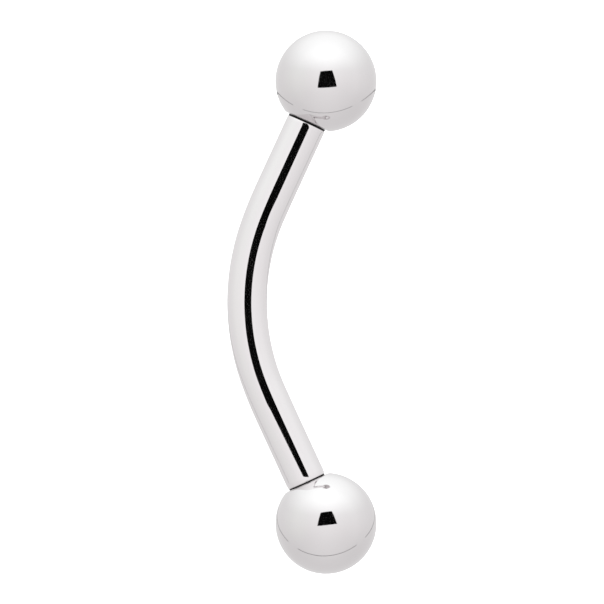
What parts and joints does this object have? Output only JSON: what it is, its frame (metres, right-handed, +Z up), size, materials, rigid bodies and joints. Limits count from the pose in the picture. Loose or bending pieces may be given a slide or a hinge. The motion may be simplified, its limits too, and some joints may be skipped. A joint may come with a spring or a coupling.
{
  "type": "curved eyebrow barbell",
  "caption": "Curved eyebrow barbell: a bent round rod of polished steel with a steel ball screwed onto the post at each end.",
  "frame": {"origin": "middle of the bounding box, on the surface that the barbell lies on", "axes": "+Z up from that surface, +Y from the lower ball to the upper ball, -X towards the belly of the bend"},
  "size_m": [0.0042, 0.016, 0.003],
  "materials": {
    "polished_rod": "mirror-polished surgical steel",
    "polished_ball": "mirror-polished surgical steel"
  },
  "bodies": {
    "bar": {"curved_bar": "polished_rod"},
    "upper_end": {"upper_ball": "polished_ball"},
    "lower_end": {"lower_ball": "polished_ball"}
  },
  "joints": [
    {"name": "upper_ball_unscrews", "type": "slide", "parent": "bar", "child": "upper_end", "axis": [0.3863, 0.9078, 0.1635], "range_m": [0, 0.006]},
    {"name": "lower_ball_unscrews", "type": "slide", "parent": "bar", "child": "lower_end", "axis": [0.3863, -0.9078, 0.1635], "range_m": [0, 0.006]}
  ]
}
